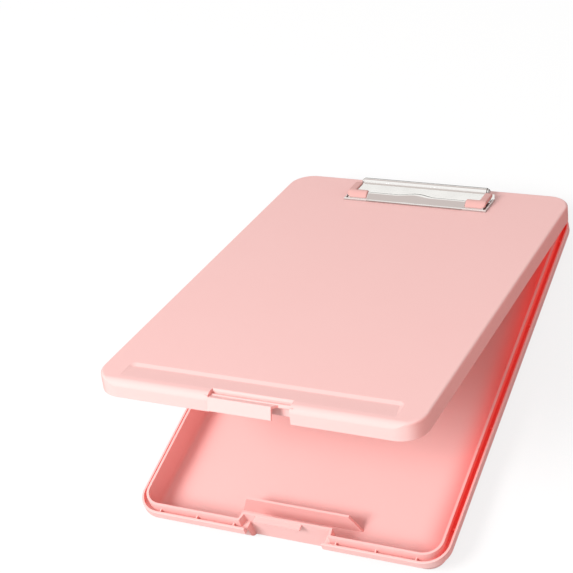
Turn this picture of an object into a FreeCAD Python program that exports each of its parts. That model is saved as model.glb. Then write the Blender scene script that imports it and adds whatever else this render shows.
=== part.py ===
"""Storage clipboard box: a shallow moulded tray with a hinged lid, a front latch and a low paper clip.

Frame: +Z up, +Y from the latch towards the hinge, +X to the right of someone who faces the latch.
The origin is the centre of the tray's flat underside. Lengths are in millimetres, angles in degrees.
The lid and everything on it are drawn as if closed, in a frame on the lid's hinge axis, and then
placed with the lid part-open. The latch is drawn on its own hinge axis, as if it were hooked.
"""
import FreeCAD, Part
import math
import os
import re
import Sketcher

os.makedirs("parts", exist_ok=True)
doc = FreeCAD.newDocument("clipboard_box")

# Driving dimensions
SIZES = {
    # Box plan and heights
    "width": 240.0,
    "depth": 338.0,
    "corner_radius": 18.5,
    "tray_height": 21.0,
    "lid_height": 13.0,
    "closing_gap": 0.25,
    "lid_rest_angle": 19.0,
    "overrun": 2.0,
    # Tray shell and its rim channel
    "tray_floor": 2.0,
    "tray_wall": 1.8,
    "draft_angle": 3.0,
    "foot_radius": 9.0,
    "bowl_radius": 5.0,
    "lip_wall": 1.6,
    "groove_width": 3.0,
    "groove_depth": 4.4,
    "groove_floor": 1.5,
    "upstand_rise": 3.4,
    "lip_round": 0.5,
    # Cross ribs in the rim groove
    "groove_rib": 0.9,
    "groove_rib_drop": 0.9,
    "front_rib_gap": 9.7,
    "front_rib_end_gap": 2.2,
    "side_rib_end_gap": 13.0,
    "side_rib_share": 0.36,
    # Catch recess in the tray's front
    "recess_half": 30.0,
    "catch_setback": 10.6,
    "jog_mouth_half": 34.7,
    "jog_slant": 1.5,
    "catch_reach": 4.5,
    "catch_rib": 1.4,
    "catch_level": 1.7,
    "catch_left": 24.0,
    "catch_right": 12.0,
    # Pen divider
    "divider_setback": 27.0,
    "divider_wall": 1.8,
    "divider_drop": 3.0,
    "divider_half": 40.0,
    "divider_ramp": 8.0,
    # Lid hinge
    "hinge_setback": 0.4,
    "hinge_inset": 13.5,
    "knuckle_count": 7,
    "knuckle_radius": 2.2,
    "knuckle_relief": 0.3,
    "knuckle_gap": 0.4,
    "rod_radius": 1.0,
    "rod_play": 0.05,
    "rod_inset": 0.5,
    # Lid shell
    "lid_top": 2.2,
    "lid_wall": 2.2,
    "lid_brow": 4.5,
    "lid_brow_radius": 5.2,
    "lid_edge_radius": 2.0,
    "lid_inner_radius": 2.3,
    # Latch recess in the lid
    "latch_setback": 8.0,
    "latch_rim_radius": 1.8,
    "cheek_round": 0.8,
    "window_play": 0.6,
    # Pen rest in the lid's top
    "pen_rest_near": 8.0,
    "pen_rest_low": 21.4,
    "pen_rest_far": 25.4,
    "pen_rest_depth": 1.1,
    "pen_rest_slope": 70.0,
    "pen_rest_corner": 4.5,
    "pen_rest_inset": 18.5,
    # Latch
    "latch_rest_angle": 15.0,
    "latch_axis_inset": 6.0,
    "latch_axis_rise": 9.0,
    "latch_barrel": 1.6,
    "latch_end_gap": 0.4,
    "latch_plate": 1.6,
    "latch_bar": 1.8,
    "latch_proud": 0.3,
    "latch_bar_right": 17.0,
    "latch_slant": 3.5,
    "latch_lift": 0.05,
    "latch_round": 0.5,
    "trunnion_radius": 1.2,
    "trunnion_play": 0.05,
    "trunnion_length": 1.5,
    "hook_thickness": 1.2,
    "hook_inset": 1.0,
    "hook_gap": 0.3,
    # Clip base plate
    "sheet_metal": 0.8,
    "clip_half": 60.9,
    "clip_front": 40.1,
    "clip_shoulder": 18.5,
    "clip_back": 8.7,
    "clip_back_inset": 3.3,
    "bead_width": 1.6,
    "bead_rise": 0.9,
    "bead_round": 0.6,
    "ear_radius": 2.4,
    "ear_gap": 0.4,
    "ear_thickness": 1.0,
    # Clip rod and roll
    "roll_setback": 12.1,
    "roll_level": 4.2,
    "roll_radius": 3.1,
    "roll_inset": 7.9,
    "clip_rod_radius": 1.0,
    "clip_rod_play": 0.05,
    "rod_head_radius": 1.6,
    "rod_head": 0.7,
    # Clip jaw
    "jaw_inset": 3.1,
    "jaw_level": 4.7,
    "jaw_shoulder": 19.5,
    "jaw_crease": 33.3,
    "jaw_lip": 38.1,
    "jaw_lip_level": 1.05,
    "dent_half": 17.5,
    "dent_rise": 4.5,
    # Clip springs
    "spring_play": 0.3,
    "spring_wire": 0.8,
    "spring_inset": 5.3,
    "spring_length": 30.0,
    "spring_leg": 11.0,
    # Corner grips
    "grip_thickness": 1.3,
    "grip_overhang": 0.8,
    "grip_side_arm": 5.3,
    "grip_front_arm": 6.2,
    "grip_front_length": 16.4,
    "grip_back": 20.5,
    "grip_front": 37.3,
    "grip_round": 0.5,
    # Rivets and washers
    "rivet_inset": 16.8,
    "rivet_setback": 27.8,
    "rivet_radius": 1.6,
    "rivet_play": 0.05,
    "rivet_bore": 0.9,
    "rivet_head_radius": 3.3,
    "rivet_head": 1.1,
    "rivet_tail_radius": 2.7,
    "rivet_tail": 0.8,
    "washer_radius": 4.5,
    "washer_thickness": 0.8,
}

sheet = doc.addObject("Spreadsheet::Sheet", "sizes")
for row, (alias, amount) in enumerate(SIZES.items(), start=1):
    sheet.set(f"A{row}", alias)
    sheet.set(f"B{row}", str(amount))
    sheet.setAlias(f"B{row}", alias)
doc.recompute()


def bound(text):
    """Expression text with every size name turned into a reference to the sheet."""
    return re.sub(r"[a-z_]+", lambda m: "sizes." + m[0] if m[0] in SIZES else m[0], text)


def number(text):
    """Present value of an expression written with the size names."""
    return float(sheet.evalExpression(bound(text)))


# Shared places, written with the size names
RIM = "(lip_wall + groove_width)"
RIM_DEPTH = "(groove_depth + groove_floor)"
SHELL_TOP = f"(tray_height - {RIM_DEPTH})"
UPSTAND_TOP = "(tray_height + upstand_rise)"
TRAY_FRONT = "(0 - depth / 2)"
TRAY_BACK = "(depth / 2)"
LID_FRONT = "(0 - hinge_setback - depth)"
LID_BACK = "(0 - hinge_setback)"
LID_TOP = "(closing_gap + lid_height)"
LATCH_Y = f"({LID_FRONT} + latch_axis_inset)"
LATCH_Z = "(closing_gap + latch_axis_rise)"
CATCH_UNDER = "(tray_height + catch_level)"
HINGE_LENGTH = "(width - 2 * corner_radius - 2 * hinge_inset)"
KNUCKLE_PITCH = f"({HINGE_LENGTH} / knuckle_count)"
ROLL_HALF = "(clip_half - roll_inset)"
JAW_HALF = "(clip_half - jaw_inset)"
RIVET_X = "(clip_half - rivet_inset)"
ROLL_Y = f"({LID_BACK} - roll_setback)"
ROLL_Z = f"({LID_TOP} + roll_level)"


def origin_feature(body, role):
    """Plane or axis of a body's own origin."""
    return next(item for item in body.Origin.OriginFeatures if item.Role == role)


def new_body(name):
    """Empty body whose label names its piece."""
    body = doc.addObject("PartDesign::Body", name)
    body.Label = name
    return body


def new_sketch(body, name, role="XY_Plane", offset="0"):
    """Sketch on one of the body's origin planes, moved along that plane's normal."""
    sketch = body.newObject("Sketcher::SketchObject", name)
    sketch.AttachmentSupport = [(origin_feature(body, role), "")]
    sketch.MapMode = "FlatFace"
    sketch.setExpression("AttachmentOffset.Base.z", bound(offset))
    return sketch


def pin_point(sketch, geometry, point, x, y):
    """Fix a point of the sketch by its two distances from the origin."""
    for kind, axis, text in (("DistanceX", -2, x), ("DistanceY", -1, y)):
        if text == "0":
            sketch.addConstraint(Sketcher.Constraint("PointOnObject", geometry, point, axis))
            continue
        index = sketch.addConstraint(Sketcher.Constraint(kind, -1, 1, geometry, point, number(text)))
        sketch.setExpression(f"Constraints[{index}]", bound(text))


def flat_point(x, y):
    """Point of the sketch plane from two expressions."""
    return FreeCAD.Vector(number(x), number(y), 0)


def outline(sketch, steps):
    """Closed outline through corners. A corner is (x, y), or (x, y, radius, turn) where an arc
    leads to it, and turn is 1 for an anticlockwise arc and -1 for a clockwise one."""
    first = sketch.GeometryCount
    starts = [steps[-1]] + steps[:-1]
    ends = []
    for start, end in zip(starts, steps):
        a, b = flat_point(*start[:2]), flat_point(*end[:2])
        if len(end) == 2:
            index = sketch.addGeometry(Part.LineSegment(a, b), False)
            ends.append((index, 1, 2))
            continue
        radius, turn = number(end[2]), end[3]
        half = (b - a) / 2
        rise = math.sqrt(max(radius ** 2 - half.Length ** 2, 0))
        side = FreeCAD.Vector(-half.y, half.x, 0).normalize() * turn
        centre = a + half + side * rise
        middle = centre - side * radius
        index = sketch.addGeometry(Part.Arc(a, middle, b), False)
        bend = sketch.addConstraint(Sketcher.Constraint("Radius", index, radius))
        sketch.setExpression(f"Constraints[{bend}]", bound(end[2]))
        ends.append((index, 1, 2) if turn > 0 else (index, 2, 1))
    for place, (index, head, tail) in enumerate(ends):
        following = ends[(place + 1) % len(ends)]
        sketch.addConstraint(Sketcher.Constraint("Coincident", index, tail, following[0], following[1]))
        pin_point(sketch, index, tail, *steps[place][:2])
    return first


def rectangle(sketch, left, front, right, back):
    """Closed rectangle from the expressions of its four sides."""
    outline(sketch, [(left, front), (right, front), (right, back), (left, back)])


def rounded_rectangle(sketch, half, front, back, radius):
    """Closed rectangle with four equal round corners, centred on the sketch's Y axis."""
    left = f"0 - ({half})"
    inner_right, inner_left = f"({half}) - ({radius})", f"({radius}) - ({half})"
    inner_front, inner_back = f"({front}) + ({radius})", f"({back}) - ({radius})"
    outline(sketch, [
        (inner_right, front),
        (half, inner_front, radius, 1),
        (half, inner_back),
        (inner_right, back, radius, 1),
        (inner_left, back),
        (left, inner_back, radius, 1),
        (left, inner_front),
        (inner_left, front, radius, 1),
    ])


def circle(sketch, x, y, radius):
    """Circle with a pinned centre."""
    shape = Part.Circle(flat_point(x, y), FreeCAD.Vector(0, 0, 1), number(radius))
    index = sketch.addGeometry(shape, False)
    pin_point(sketch, index, 3, x, y)
    bend = sketch.addConstraint(Sketcher.Constraint("Radius", index, number(radius)))
    sketch.setExpression(f"Constraints[{bend}]", bound(radius))


def volume_of(body):
    """Volume of a body so far, nothing before its first feature."""
    return 0.0 if body.Tip is None or body.Shape.isNull() else body.Shape.Volume


def extrude(body, kind, sketch, length, reverse, taper):
    """Pad or pocket of one sketch, checked to have changed the solid the right way."""
    before = volume_of(body)
    feature = body.newObject(f"PartDesign::{kind}", f"{sketch.Name}_{kind.lower()}")
    feature.Profile = sketch
    feature.setExpression("Length", bound(length))
    feature.Reversed = reverse
    if taper is not None:
        feature.setExpression("TaperAngle", bound(taper))
    doc.recompute()
    grown = volume_of(body) - before
    if (grown > 0) != (kind == "Pad") or grown == 0:
        raise ValueError(f"{feature.Name} changed the volume by {grown}")
    return feature


def pad(body, sketch, length, reverse=False, taper=None):
    """Material along the sketch's normal, or against it when reversed."""
    return extrude(body, "Pad", sketch, length, reverse, taper)


def pocket(body, sketch, length, reverse=False, taper=None):
    """Cut against the sketch's normal, or along it when reversed."""
    return extrude(body, "Pocket", sketch, length, reverse, taper)


def dress(body, kind, name, chosen, amount, prop="Radius"):
    """Fillet or chamfer of the tip's edges that the test chooses."""
    tip = body.Tip
    edges = [f"Edge{i}" for i, edge in enumerate(tip.Shape.Edges, start=1) if chosen(edge)]
    if not edges:
        raise ValueError(f"{name} found no edge")
    feature = body.newObject(f"PartDesign::{kind}", name)
    feature.Base = (tip, edges)
    feature.setExpression(prop, bound(amount))
    doc.recompute()
    if "Invalid" in feature.State:
        raise ValueError(f"{name} failed on {len(edges)} edges")
    return feature


def close(a, b, slack=0.02):
    """True for two places that are the same within the slack."""
    return abs(a - b) < slack


def flat_at(edge, level):
    """True for an edge that lies wholly at one height."""
    return close(edge.BoundBox.ZMin, level) and close(edge.BoundBox.ZMax, level)


def repeat(body, feature, spacing, count, name):
    """Copies of a feature along X."""
    pattern = body.newObject("PartDesign::LinearPattern", name)
    pattern.Originals = [feature]
    pattern.Direction = (origin_feature(body, "X_Axis"), [""])
    pattern.Mode = "Spacing"
    pattern.setExpression("Offset", bound(spacing))
    pattern.setExpression("Occurrences", bound(count))
    body.Tip = pattern
    doc.recompute()


def hinge_knuckles(body, axis_y, axis_z, first, count, relief_first, relief_count):
    """Reliefs for the other half's knuckles, this half's own knuckles, and the bore for the rod."""
    start = f"0 - {HINGE_LENGTH} / 2"
    relief = new_sketch(body, f"{body.Name}_relief", "YZ_Plane",
                        f"{start} + {relief_first} * {KNUCKLE_PITCH} - knuckle_gap / 2")
    circle(relief, axis_y, axis_z, "knuckle_radius + knuckle_relief")
    cut = pocket(body, relief, f"{KNUCKLE_PITCH} + knuckle_gap", reverse=True)
    repeat(body, cut, f"2 * {KNUCKLE_PITCH}", relief_count, f"{body.Name}_reliefs")
    knuckle = new_sketch(body, f"{body.Name}_knuckle", "YZ_Plane",
                         f"{start} + {first} * {KNUCKLE_PITCH} + knuckle_gap / 2")
    circle(knuckle, axis_y, axis_z, "knuckle_radius")
    barrel = pad(body, knuckle, f"{KNUCKLE_PITCH} - knuckle_gap")
    repeat(body, barrel, f"2 * {KNUCKLE_PITCH}", count, f"{body.Name}_knuckles")
    bore = new_sketch(body, f"{body.Name}_bore", "YZ_Plane", start)
    circle(bore, axis_y, axis_z, "rod_radius + rod_play")
    pocket(body, bore, HINGE_LENGTH, reverse=True)


def rim_plan(sketch, inset):
    """Plan of the tray's outer wall, drawn in by an inset all round."""
    rounded_rectangle(sketch, f"width / 2 - ({inset})", f"{TRAY_FRONT} + ({inset})",
                      f"{TRAY_BACK} - ({inset})", f"corner_radius - ({inset})")


def make_tray():
    """Lower moulding: drafted bowl, U-shaped rim channel, catch recess, pen divider and knuckles."""
    body = new_body("tray")
    shell = new_sketch(body, "tray_shell", offset=SHELL_TOP)
    rim_plan(shell, RIM)
    pad(body, shell, SHELL_TOP, reverse=True, taper="0 - draft_angle")
    dress(body, "Fillet", "tray_foot", lambda edge: flat_at(edge, 0), "foot_radius")
    upper = new_sketch(body, "tray_upstand", offset=SHELL_TOP)
    rim_plan(upper, RIM)
    pad(body, upper, f"{RIM_DEPTH} + upstand_rise")
    rim = new_sketch(body, "tray_rim", offset=SHELL_TOP)
    rim_plan(rim, "0")
    pad(body, rim, RIM_DEPTH)
    groove = new_sketch(body, "tray_groove", offset="tray_height")
    rim_plan(groove, "lip_wall")
    rim_plan(groove, RIM)
    pocket(body, groove, "groove_depth")
    hollow = body.newObject("PartDesign::Boolean", "tray_hollow")
    hollow.Type = "Cut"
    hollow.setObjects([tray_core()])
    doc.recompute()
    add_catch_recess(body)
    add_divider(body)
    add_groove_ribs(body)
    hinge_knuckles(body, f"{TRAY_BACK} + hinge_setback", "tray_height",
                   0, "(knuckle_count + 1) / 2", 1, "(knuckle_count - 1) / 2")
    lip_level = number("tray_height")
    dress(body, "Fillet", "tray_lip_round", lambda edge: on_lip(edge, lip_level), "lip_round")
    return body


def tray_core():
    """Solid that fills the tray's inside: a drafted bowl with a rounded foot, its mouth above, and
    a jog in its front for the catch recess."""
    core = new_body("tray_core")
    bowl = new_sketch(core, "core_bowl", offset=SHELL_TOP)
    rim_plan(bowl, f"{RIM} + tray_wall")
    pad(core, bowl, f"{SHELL_TOP} - tray_floor", reverse=True, taper="0 - draft_angle")
    floor_level = number("tray_floor")
    dress(core, "Fillet", "core_round", lambda edge: flat_at(edge, floor_level), "bowl_radius")
    mouth = new_sketch(core, "core_mouth", offset=SHELL_TOP)
    rim_plan(mouth, f"{RIM} + tray_wall")
    pad(core, mouth, f"{RIM_DEPTH} + upstand_rise + overrun")
    jog = new_sketch(core, "core_jog")
    wall_back = f"{TRAY_FRONT} + catch_setback + tray_wall"
    outer, inner = "jog_mouth_half + tray_wall", "jog_mouth_half + tray_wall - jog_slant"
    outline(jog, [(f"0 - ({outer})", TRAY_FRONT), (outer, TRAY_FRONT),
                  (inner, wall_back), (f"0 - ({inner})", wall_back)])
    pocket(core, jog, f"{UPSTAND_TOP} + overrun", reverse=True)
    return core


def on_lip(edge, level):
    """Outer top edge of the rim's lip, along the two sides and round the corners."""
    box = edge.BoundBox
    outside = number("width / 2") - max(abs(box.XMin), abs(box.XMax))
    ahead = box.YMax < number(f"{TRAY_BACK} - corner_radius / 2")
    return flat_at(edge, level) and close(outside, 0) and box.YLength > 1 and ahead


def add_catch_recess(body):
    """Gap in the front rim down to a recessed wall, with the catch rib for the latch's hook."""
    mouth = new_sketch(body, "catch_mouth")
    rectangle(mouth, "0 - recess_half", f"{TRAY_FRONT} - overrun", "recess_half",
              f"{TRAY_FRONT} + catch_setback")
    pocket(body, mouth, UPSTAND_TOP, reverse=True)
    jog = new_sketch(body, "catch_jog", offset=UPSTAND_TOP)
    front = f"{TRAY_FRONT} + lip_wall"
    channel = f"{TRAY_FRONT} + {RIM}"
    back = f"{TRAY_FRONT} + catch_setback"
    narrow = "jog_mouth_half - jog_slant"
    outline(jog, [("0 - jog_mouth_half", front), ("jog_mouth_half", front), ("jog_mouth_half", channel),
                  (narrow, back), (f"0 - ({narrow})", back), ("0 - jog_mouth_half", channel)])
    pocket(body, jog, "upstand_rise + groove_depth")
    rib = new_sketch(body, "catch_rib", offset=CATCH_UNDER)
    rectangle(rib, "0 - catch_left", f"{back} - catch_reach", "catch_right", f"{back} + tray_wall / 2")
    pad(body, rib, "catch_rib")


def add_divider(body):
    """Wall that keeps the pen apart from the paper, with sloping ends."""
    divider = new_sketch(body, "pen_divider", "XZ_Plane", f"0 - ({TRAY_FRONT} + divider_setback)")
    top = "tray_height - divider_drop"
    base = "tray_floor / 2"
    foot = "divider_half + divider_ramp"
    outline(divider, [(f"0 - ({foot})", base), (foot, base), ("divider_half", top), ("0 - divider_half", top)])
    pad(body, divider, "divider_wall", reverse=True)


def add_groove_ribs(body):
    """Thin cross ribs in the rim groove: three each side of the recess, and four on each side."""
    ribs = new_sketch(body, "groove_ribs", offset="tray_height - groove_rib_drop")
    inner, outer = f"{RIM} + tray_wall / 2", "lip_wall / 2"
    near = "(recess_half + front_rib_gap)"
    far = "(width / 2 - corner_radius - front_rib_end_gap)"
    for place in range(3):
        for sign in (1, -1):
            centre = f"{sign} * ({near} + {place} * ({far} - {near}) / 2)"
            rectangle(ribs, f"{centre} - groove_rib / 2", f"{TRAY_FRONT} + {outer}",
                      f"{centre} + groove_rib / 2", f"{TRAY_FRONT} + {inner}")
    reach = "(depth / 2 - corner_radius - side_rib_end_gap)"
    for along in (1, -1):
        for place in (reach, f"side_rib_share * {reach}"):
            centre = f"{along} * {place}"
            front, back = f"{centre} - groove_rib / 2", f"{centre} + groove_rib / 2"
            rectangle(ribs, f"width / 2 - {inner}", front, f"width / 2 - {outer}", back)
            rectangle(ribs, f"{outer} - width / 2", front, f"{inner} - width / 2", back)
    pad(body, ribs, "groove_depth - groove_rib_drop", reverse=True)


def lid_plan(sketch, inset):
    """Plan of the lid's outer wall, drawn in by an inset all round."""
    rounded_rectangle(sketch, f"width / 2 - ({inset})", f"{LID_FRONT} + ({inset})",
                      f"{LID_BACK} - ({inset})", f"corner_radius - ({inset})")


def make_lid():
    """Upper moulding: flat writing surface with a pen rest, round edge, latch recess and knuckles."""
    body = new_body("lid")
    shell = new_sketch(body, "lid_shell", offset="closing_gap")
    lid_plan(shell, "0")
    pad(body, shell, "lid_height")
    top_level = number(LID_TOP)
    dress(body, "Fillet", "lid_edge", lambda edge: flat_at(edge, top_level), "lid_edge_radius")
    brow = new_sketch(body, "lid_brow", "YZ_Plane", "0 - width / 2")
    ahead, above = f"{LID_FRONT} - overrun", f"{LID_TOP} + overrun"
    outline(brow, [(LID_FRONT, f"{LID_TOP} - lid_brow"), (f"{LID_FRONT} + lid_brow", LID_TOP, "lid_brow_radius", -1),
                   (f"{LID_FRONT} + lid_brow", above), (ahead, above), (ahead, f"{LID_TOP} - lid_brow")])
    pocket(body, brow, "width", reverse=True)
    inside = new_sketch(body, "lid_inside", offset="closing_gap")
    lid_plan(inside, "lid_wall")
    pocket(body, inside, "lid_height - lid_top", reverse=True)
    ceiling = number(f"{LID_TOP} - lid_top")
    dress(body, "Fillet", "lid_inner_round", lambda edge: flat_at(edge, ceiling), "lid_inner_radius")
    add_latch_recess(body)
    add_pen_rest(body)
    holes = new_sketch(body, "lid_rivet_holes", offset=LID_TOP)
    for sign in (1, -1):
        circle(holes, f"{sign} * {RIVET_X}", f"{LID_BACK} - rivet_setback", "rivet_radius + rivet_play")
    pocket(body, holes, "lid_top + overrun")
    hinge_knuckles(body, "0", "0", 1, "(knuckle_count - 1) / 2", 0, "(knuckle_count + 1) / 2")
    return body


def add_latch_recess(body):
    """Recess through the lid's front edge, closed inside by a wall, with sockets in its cheeks."""
    block = new_sketch(body, "latch_block", offset="closing_gap")
    half = "recess_half + lid_wall"
    rectangle(block, f"0 - ({half})", f"{LID_FRONT} + lid_wall / 2", half,
              f"{LID_FRONT} + latch_setback + lid_wall")
    pad(body, block, "lid_height - lid_top / 2")
    mouth = new_sketch(body, "latch_mouth", offset="closing_gap")
    back = f"{LID_FRONT} + latch_setback"
    rectangle(mouth, "0 - recess_half", f"{LID_FRONT} - overrun", "recess_half", back)
    pocket(body, mouth, "lid_height", reverse=True)
    window = new_sketch(body, "catch_window", offset="closing_gap")
    rectangle(window, "0 - catch_left - window_play", f"{back} - overrun", "catch_right + window_play",
              f"{back} + lid_wall + overrun")
    pocket(body, window, "catch_level + catch_rib + window_play - closing_gap", reverse=True)
    socket = new_sketch(body, "trunnion_sockets", "YZ_Plane", "0 - recess_half - trunnion_length - trunnion_play")
    circle(socket, LATCH_Y, LATCH_Z, "trunnion_radius + trunnion_play")
    pocket(body, socket, "2 * (recess_half + trunnion_length + trunnion_play)", reverse=True)
    top_level, recess_back = number(LID_TOP), number(back)

    def rim_edge(edge):
        """Top edge of the recess's back wall."""
        box = edge.BoundBox
        return flat_at(edge, top_level) and close(box.YMin, recess_back) and close(box.YMax, recess_back)

    dress(body, "Fillet", "latch_rim", rim_edge, "latch_rim_radius")


def add_pen_rest(body):
    """Shallow trough near the front edge, with round ends, a steeper far side and a gentle near side."""
    form = new_body("pen_rest_form")
    half = "(width / 2 - pen_rest_inset)"
    near, far = f"{LID_FRONT} + pen_rest_near", f"{LID_FRONT} + pen_rest_far"
    start = f"{near} - pen_rest_corner"
    plan = new_sketch(form, "pen_rest_plan", offset=LID_TOP)
    rounded_rectangle(plan, half, start, far, "pen_rest_corner")
    pad(form, plan, "pen_rest_depth", reverse=True, taper="0 - pen_rest_slope")
    above = new_sketch(form, "pen_rest_above", offset=LID_TOP)
    rounded_rectangle(above, half, start, far, "pen_rest_corner")
    pad(form, above, "overrun")
    low = f"{LID_TOP} - pen_rest_depth"
    slope = new_sketch(form, "pen_rest_near_side", "YZ_Plane", "0 - width / 2")
    outline(slope, [(near, LID_TOP), (f"{start} - overrun", LID_TOP), (f"{start} - overrun", f"{low} - overrun"),
                    (f"{LID_FRONT} + pen_rest_low", f"{low} - overrun"), (f"{LID_FRONT} + pen_rest_low", low)])
    pocket(form, slope, "width", reverse=True)
    trough = body.newObject("PartDesign::Boolean", "pen_rest")
    trough.Type = "Cut"
    trough.setObjects([form])
    doc.recompute()


def make_latch():
    """Front latch in its own frame: barrel on the hinge axis, plate, bar and hook."""
    body = new_body("latch")
    half = "(recess_half - latch_end_gap)"
    front = "(0 - latch_axis_inset - latch_proud)"
    barrel = new_sketch(body, "latch_barrel", "YZ_Plane", f"0 - {half}")
    circle(barrel, "0", "0", "latch_barrel")
    pad(body, barrel, f"2 * {half}")
    plate = new_sketch(body, "latch_plate", offset="0 - latch_plate / 2")
    outline(plate, [(f"0 - {half}", front), ("latch_bar_right", front),
                    ("latch_bar_right + latch_slant", "0 - latch_plate / 2"),
                    ("latch_bar_right + latch_slant", "0"), (f"0 - {half}", "0")])
    pad(body, plate, "latch_plate")
    bottom = "0 - latch_axis_rise + latch_lift"
    bar = new_sketch(body, "latch_bar", offset=bottom)
    rectangle(bar, f"0 - {half}", front, "latch_bar_right", f"{front} + latch_bar")
    pad(body, bar, f"latch_axis_rise - latch_lift + latch_plate / 2")
    hook = new_sketch(body, "latch_hook", offset=bottom)
    rectangle(hook, "0 - catch_left - hook_inset", f"{front} + latch_bar / 2", "catch_right + hook_inset",
              "latch_setback - latch_axis_inset - hook_gap")
    pad(body, hook, "hook_thickness")
    stub = new_sketch(body, "latch_trunnions", "YZ_Plane", f"0 - {half} - latch_end_gap - trunnion_length")
    circle(stub, "0", "0", "trunnion_radius")
    pad(body, stub, f"2 * ({half} + latch_end_gap + trunnion_length)")
    bar_front, long_enough = number(front), number("recess_half")

    def long_edge(edge):
        """Top and bottom edges of the bar's front face."""
        box = edge.BoundBox
        return close(box.YMin, bar_front) and close(box.YMax, bar_front) and box.XLength > long_enough

    dress(body, "Fillet", "latch_edge_round", long_edge, "latch_round")
    return body


def make_hinge_rod():
    """Steel rod of the lid hinge, in its own frame at the middle of the axis."""
    body = new_body("hinge_rod")
    rod = new_sketch(body, "hinge_rod_section", "YZ_Plane", f"rod_inset - {HINGE_LENGTH} / 2")
    circle(rod, "0", "0", "rod_radius")
    pad(body, rod, f"{HINGE_LENGTH} - 2 * rod_inset")
    return body


def make_clip_base():
    """Pressed base plate with a raised bead on three sides and two ears for the rod."""
    body = new_body("clip_base")
    plate = new_sketch(body, "clip_plate", offset=LID_TOP)
    front, shoulder = f"{LID_BACK} - clip_front", f"{LID_BACK} - clip_shoulder"
    back = f"{LID_BACK} - clip_back"
    outline(plate, [("0 - clip_half", front), ("clip_half", front), ("clip_half", shoulder),
                    ("clip_half - clip_back_inset", back), ("clip_back_inset - clip_half", back),
                    ("0 - clip_half", shoulder)])
    pad(body, plate, "sheet_metal")
    bead = new_sketch(body, "clip_bead", offset=f"{LID_TOP} + sheet_metal")
    inner = "clip_half - bead_width"
    outline(bead, [("0 - clip_half", front), ("clip_half", front), ("clip_half", shoulder),
                   (inner, shoulder), (inner, f"{front} + bead_width"),
                   (f"0 - ({inner})", f"{front} + bead_width"), (f"0 - ({inner})", shoulder),
                   ("0 - clip_half", shoulder)])
    pad(body, bead, "bead_rise")
    bead_top = number(f"{LID_TOP} + sheet_metal + bead_rise")
    dress(body, "Fillet", "clip_bead_round", lambda edge: flat_at(edge, bead_top), "bead_round")
    for side, sign in (("right", 1), ("left", -1)):
        inner_face = f"{ROLL_HALF} + ear_gap"
        start = inner_face if sign > 0 else f"0 - ({inner_face}) - ear_thickness"
        ear = new_sketch(body, f"clip_ear_{side}", "YZ_Plane", start)
        foot = f"{LID_TOP} + sheet_metal / 2"
        outline(ear, [(f"{ROLL_Y} - ear_radius", foot), (f"{ROLL_Y} + ear_radius", foot),
                      (f"{ROLL_Y} + ear_radius", ROLL_Z),
                      (ROLL_Y, f"{ROLL_Z} + ear_radius", "ear_radius", 1),
                      (f"{ROLL_Y} - ear_radius", ROLL_Z, "ear_radius", 1)])
        circle(ear, ROLL_Y, ROLL_Z, "clip_rod_radius + clip_rod_play")
        pad(body, ear, "ear_thickness")
    holes = new_sketch(body, "clip_base_holes", offset=f"{LID_TOP} + sheet_metal")
    for sign in (1, -1):
        circle(holes, f"{sign} * {RIVET_X}", f"{LID_BACK} - rivet_setback", "rivet_radius + rivet_play")
    pocket(body, holes, "sheet_metal")
    return body


def make_clip_rod():
    """Rod across the two ears, with a peened head at each end."""
    body = new_body("clip_rod")
    end = f"({ROLL_HALF} + ear_gap + ear_thickness)"
    rod = new_sketch(body, "clip_rod_section", "YZ_Plane", f"0 - {end}")
    circle(rod, ROLL_Y, ROLL_Z, "clip_rod_radius")
    pad(body, rod, f"2 * {end}")
    for side, start in (("right", end), ("left", f"0 - {end} - rod_head")):
        head = new_sketch(body, f"clip_rod_head_{side}", "YZ_Plane", start)
        circle(head, ROLL_Y, ROLL_Z, "rod_head_radius")
        pad(body, head, "rod_head")
    return body


def make_clip_spring(name, sign):
    """Close-wound torsion spring as a sleeve, with a leg that bears on the base plate."""
    body = new_body(name)
    inner = "(clip_rod_radius + spring_play)"
    far = f"({ROLL_HALF} - spring_inset)"
    near = f"({far} - spring_length)"
    start = near if sign > 0 else f"0 - {far}"
    coil = new_sketch(body, f"{name}_coil", "YZ_Plane", start)
    circle(coil, ROLL_Y, ROLL_Z, f"{inner} + spring_wire")
    circle(coil, ROLL_Y, ROLL_Z, inner)
    pad(body, coil, "spring_length")
    leg_start = near if sign > 0 else f"0 - {near} - spring_wire"
    leg = new_sketch(body, f"{name}_leg", "YZ_Plane", leg_start)
    tip = f"{ROLL_Y} - spring_leg"
    under = f"{ROLL_Z} - {inner}"
    rest = f"{LID_TOP} + sheet_metal"
    outline(leg, [(ROLL_Y, under), (tip, f"{rest} + spring_wire"), (tip, rest),
                  (ROLL_Y, f"{under} - spring_wire")])
    pad(body, leg, "spring_wire")
    return body


def extruded(name, start, length, corners):
    """Prism along X from an outline in the YZ plane."""
    sketch = doc.addObject("Sketcher::SketchObject", f"{name}_outline")
    sketch.Placement = FreeCAD.Placement(
        FreeCAD.Vector(number(start), 0, 0),
        FreeCAD.Rotation(FreeCAD.Vector(0, 1, 0), FreeCAD.Vector(0, 0, 1), FreeCAD.Vector(1, 0, 0)))
    outline(sketch, corners)
    prism = doc.addObject("Part::Extrusion", name)
    prism.Base = sketch
    prism.DirMode = "Custom"
    prism.Dir = FreeCAD.Vector(1, 0, 0)
    prism.setExpression("LengthFwd", bound(length))
    prism.Solid = True
    return prism


def upright_cone(name, centre_y, low, high, radius_low, radius_high):
    """Cone frustum on a vertical axis."""
    cone = doc.addObject("Part::Cone", name)
    cone.setExpression("Radius1", bound(radius_low))
    cone.setExpression("Radius2", bound(radius_high))
    cone.setExpression("Height", bound(f"({high}) - ({low})"))
    cone.Placement.Base = FreeCAD.Vector(0, number(centre_y), number(low))
    return cone


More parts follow.
